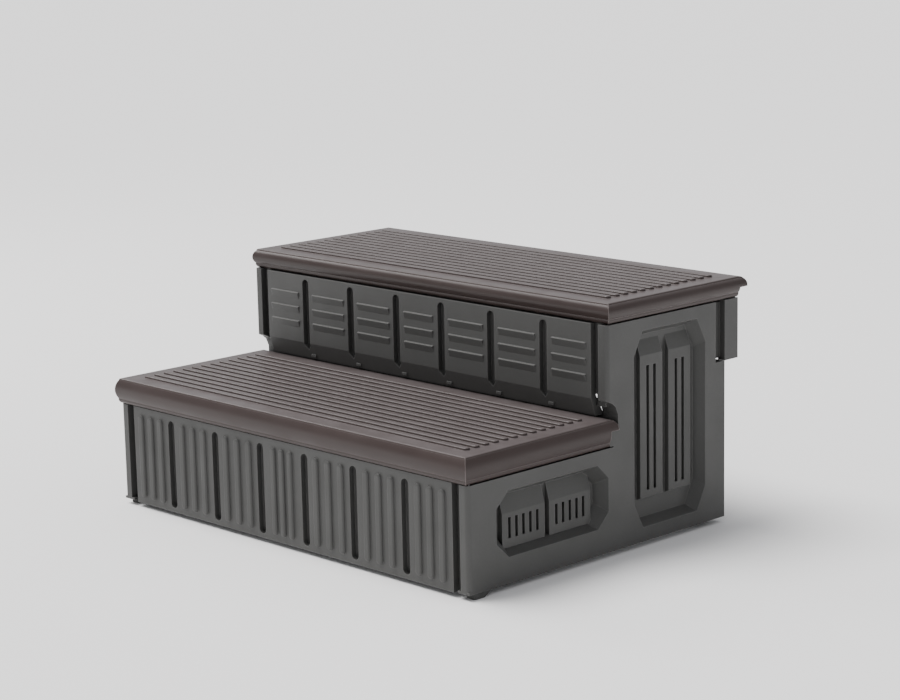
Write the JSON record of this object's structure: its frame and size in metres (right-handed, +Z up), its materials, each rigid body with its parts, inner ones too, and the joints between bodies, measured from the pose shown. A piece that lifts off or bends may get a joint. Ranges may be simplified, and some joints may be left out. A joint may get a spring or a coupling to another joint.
{
  "type": "spa steps",
  "caption": "Free-standing moulded plastic spa steps: ribbed dark treads on grey side panels with vents, fluted lower riser and louvred upper riser.",
  "frame": {"origin": "middle of the footprint, on the floor", "axes": "+Z up; +Y towards the spa, so a person climbs along +Y; +X to the climber's right"},
  "size_m": [0.914, 0.695, 0.437],
  "materials": {
    "body_grey": "satin moulded grey plastic",
    "tread_brown": "satin espresso brown plastic with a fine grain",
    "screw_steel": "stainless pan-head screws",
    "foot_rubber": "dark grey rubber"
  },
  "bodies": {
    "root": {"left_side_panel": "body_grey", "right_side_panel": "body_grey", "lower_riser": "body_grey", "upper_riser": "body_grey", "rear_brace": "body_grey", "lower_tread": "tread_brown", "upper_tread": "tread_brown", "front_left_foot": "foot_rubber", "front_right_foot": "foot_rubber", "rear_left_foot": "foot_rubber", "rear_right_foot": "foot_rubber", "lower_tread_front_screws": "screw_steel", "lower_tread_rear_screws": "screw_steel", "lower_tread_left_screws": "screw_steel", "lower_tread_right_screws": "screw_steel", "upper_tread_front_screws": "screw_steel", "upper_tread_rear_screws": "screw_steel", "upper_tread_left_screws": "screw_steel", "upper_tread_right_screws": "screw_steel", "lower_riser_left_screws": "screw_steel", "lower_riser_right_screws": "screw_steel", "upper_riser_left_screws": "screw_steel", "upper_riser_right_screws": "screw_steel", "rear_brace_left_screws": "screw_steel", "rear_brace_right_screws": "screw_steel"}
  },
  "joints": []
}
